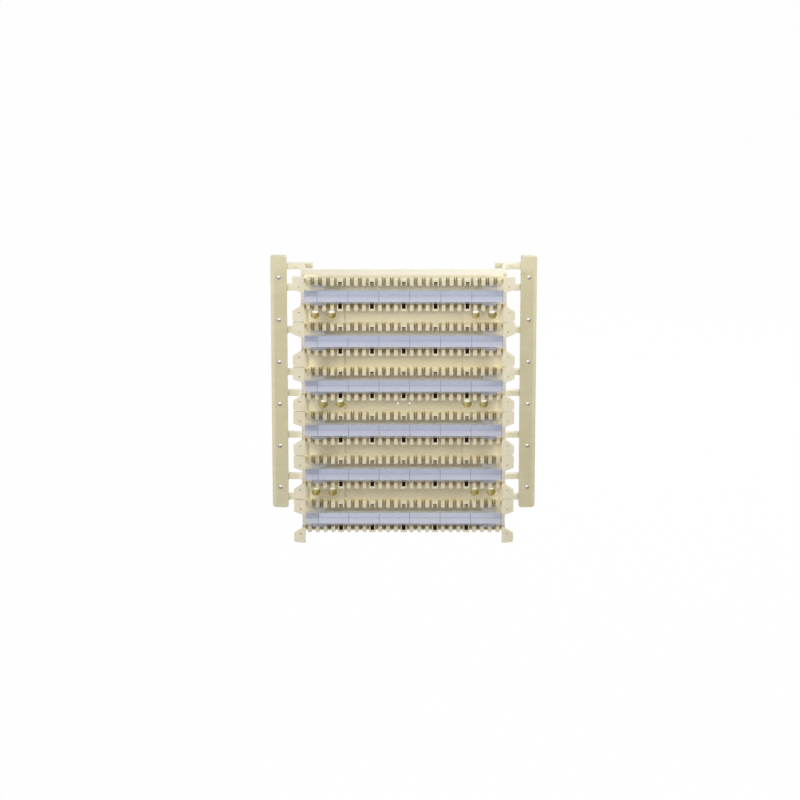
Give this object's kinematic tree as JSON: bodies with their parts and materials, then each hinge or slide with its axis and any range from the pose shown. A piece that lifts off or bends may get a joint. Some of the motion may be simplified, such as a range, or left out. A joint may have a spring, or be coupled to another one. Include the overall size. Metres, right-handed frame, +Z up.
{
  "type": "punch down wiring block",
  "caption": "Wall-mounted punch-down wiring block: a moulded base with rows of comb teeth and wire troughs, clear label holders with paper strips, and two stand-off legs.",
  "frame": {"origin": "centre of the wall screw pattern, on the wall plane at the back of the legs", "axes": "+X to the right as seen from the front, +Y back into the wall, +Z up; the teeth face -Y"},
  "size_m": [0.2588, 0.084, 0.2728],
  "materials": {
    "base_plastic": "fine satin moulded plastic, ivory",
    "leg_plastic": "fine satin moulded plastic, ivory",
    "clear_plastic": "clear glossy plastic with a blue cast",
    "label_paper": "pale blue printed paper"
  },
  "bodies": {
    "root": {"wiring_base": "base_plastic", "left_leg": "leg_plastic", "right_leg": "leg_plastic", "label_holder_1": "clear_plastic", "label_holder_2": "clear_plastic", "label_holder_3": "clear_plastic", "label_holder_4": "clear_plastic", "label_holder_5": "clear_plastic", "label_holder_6": "clear_plastic", "label_strip_1": "label_paper", "label_strip_2": "label_paper", "label_strip_3": "label_paper", "label_strip_4": "label_paper", "label_strip_5": "label_paper", "label_strip_6": "label_paper"}
  },
  "joints": []
}
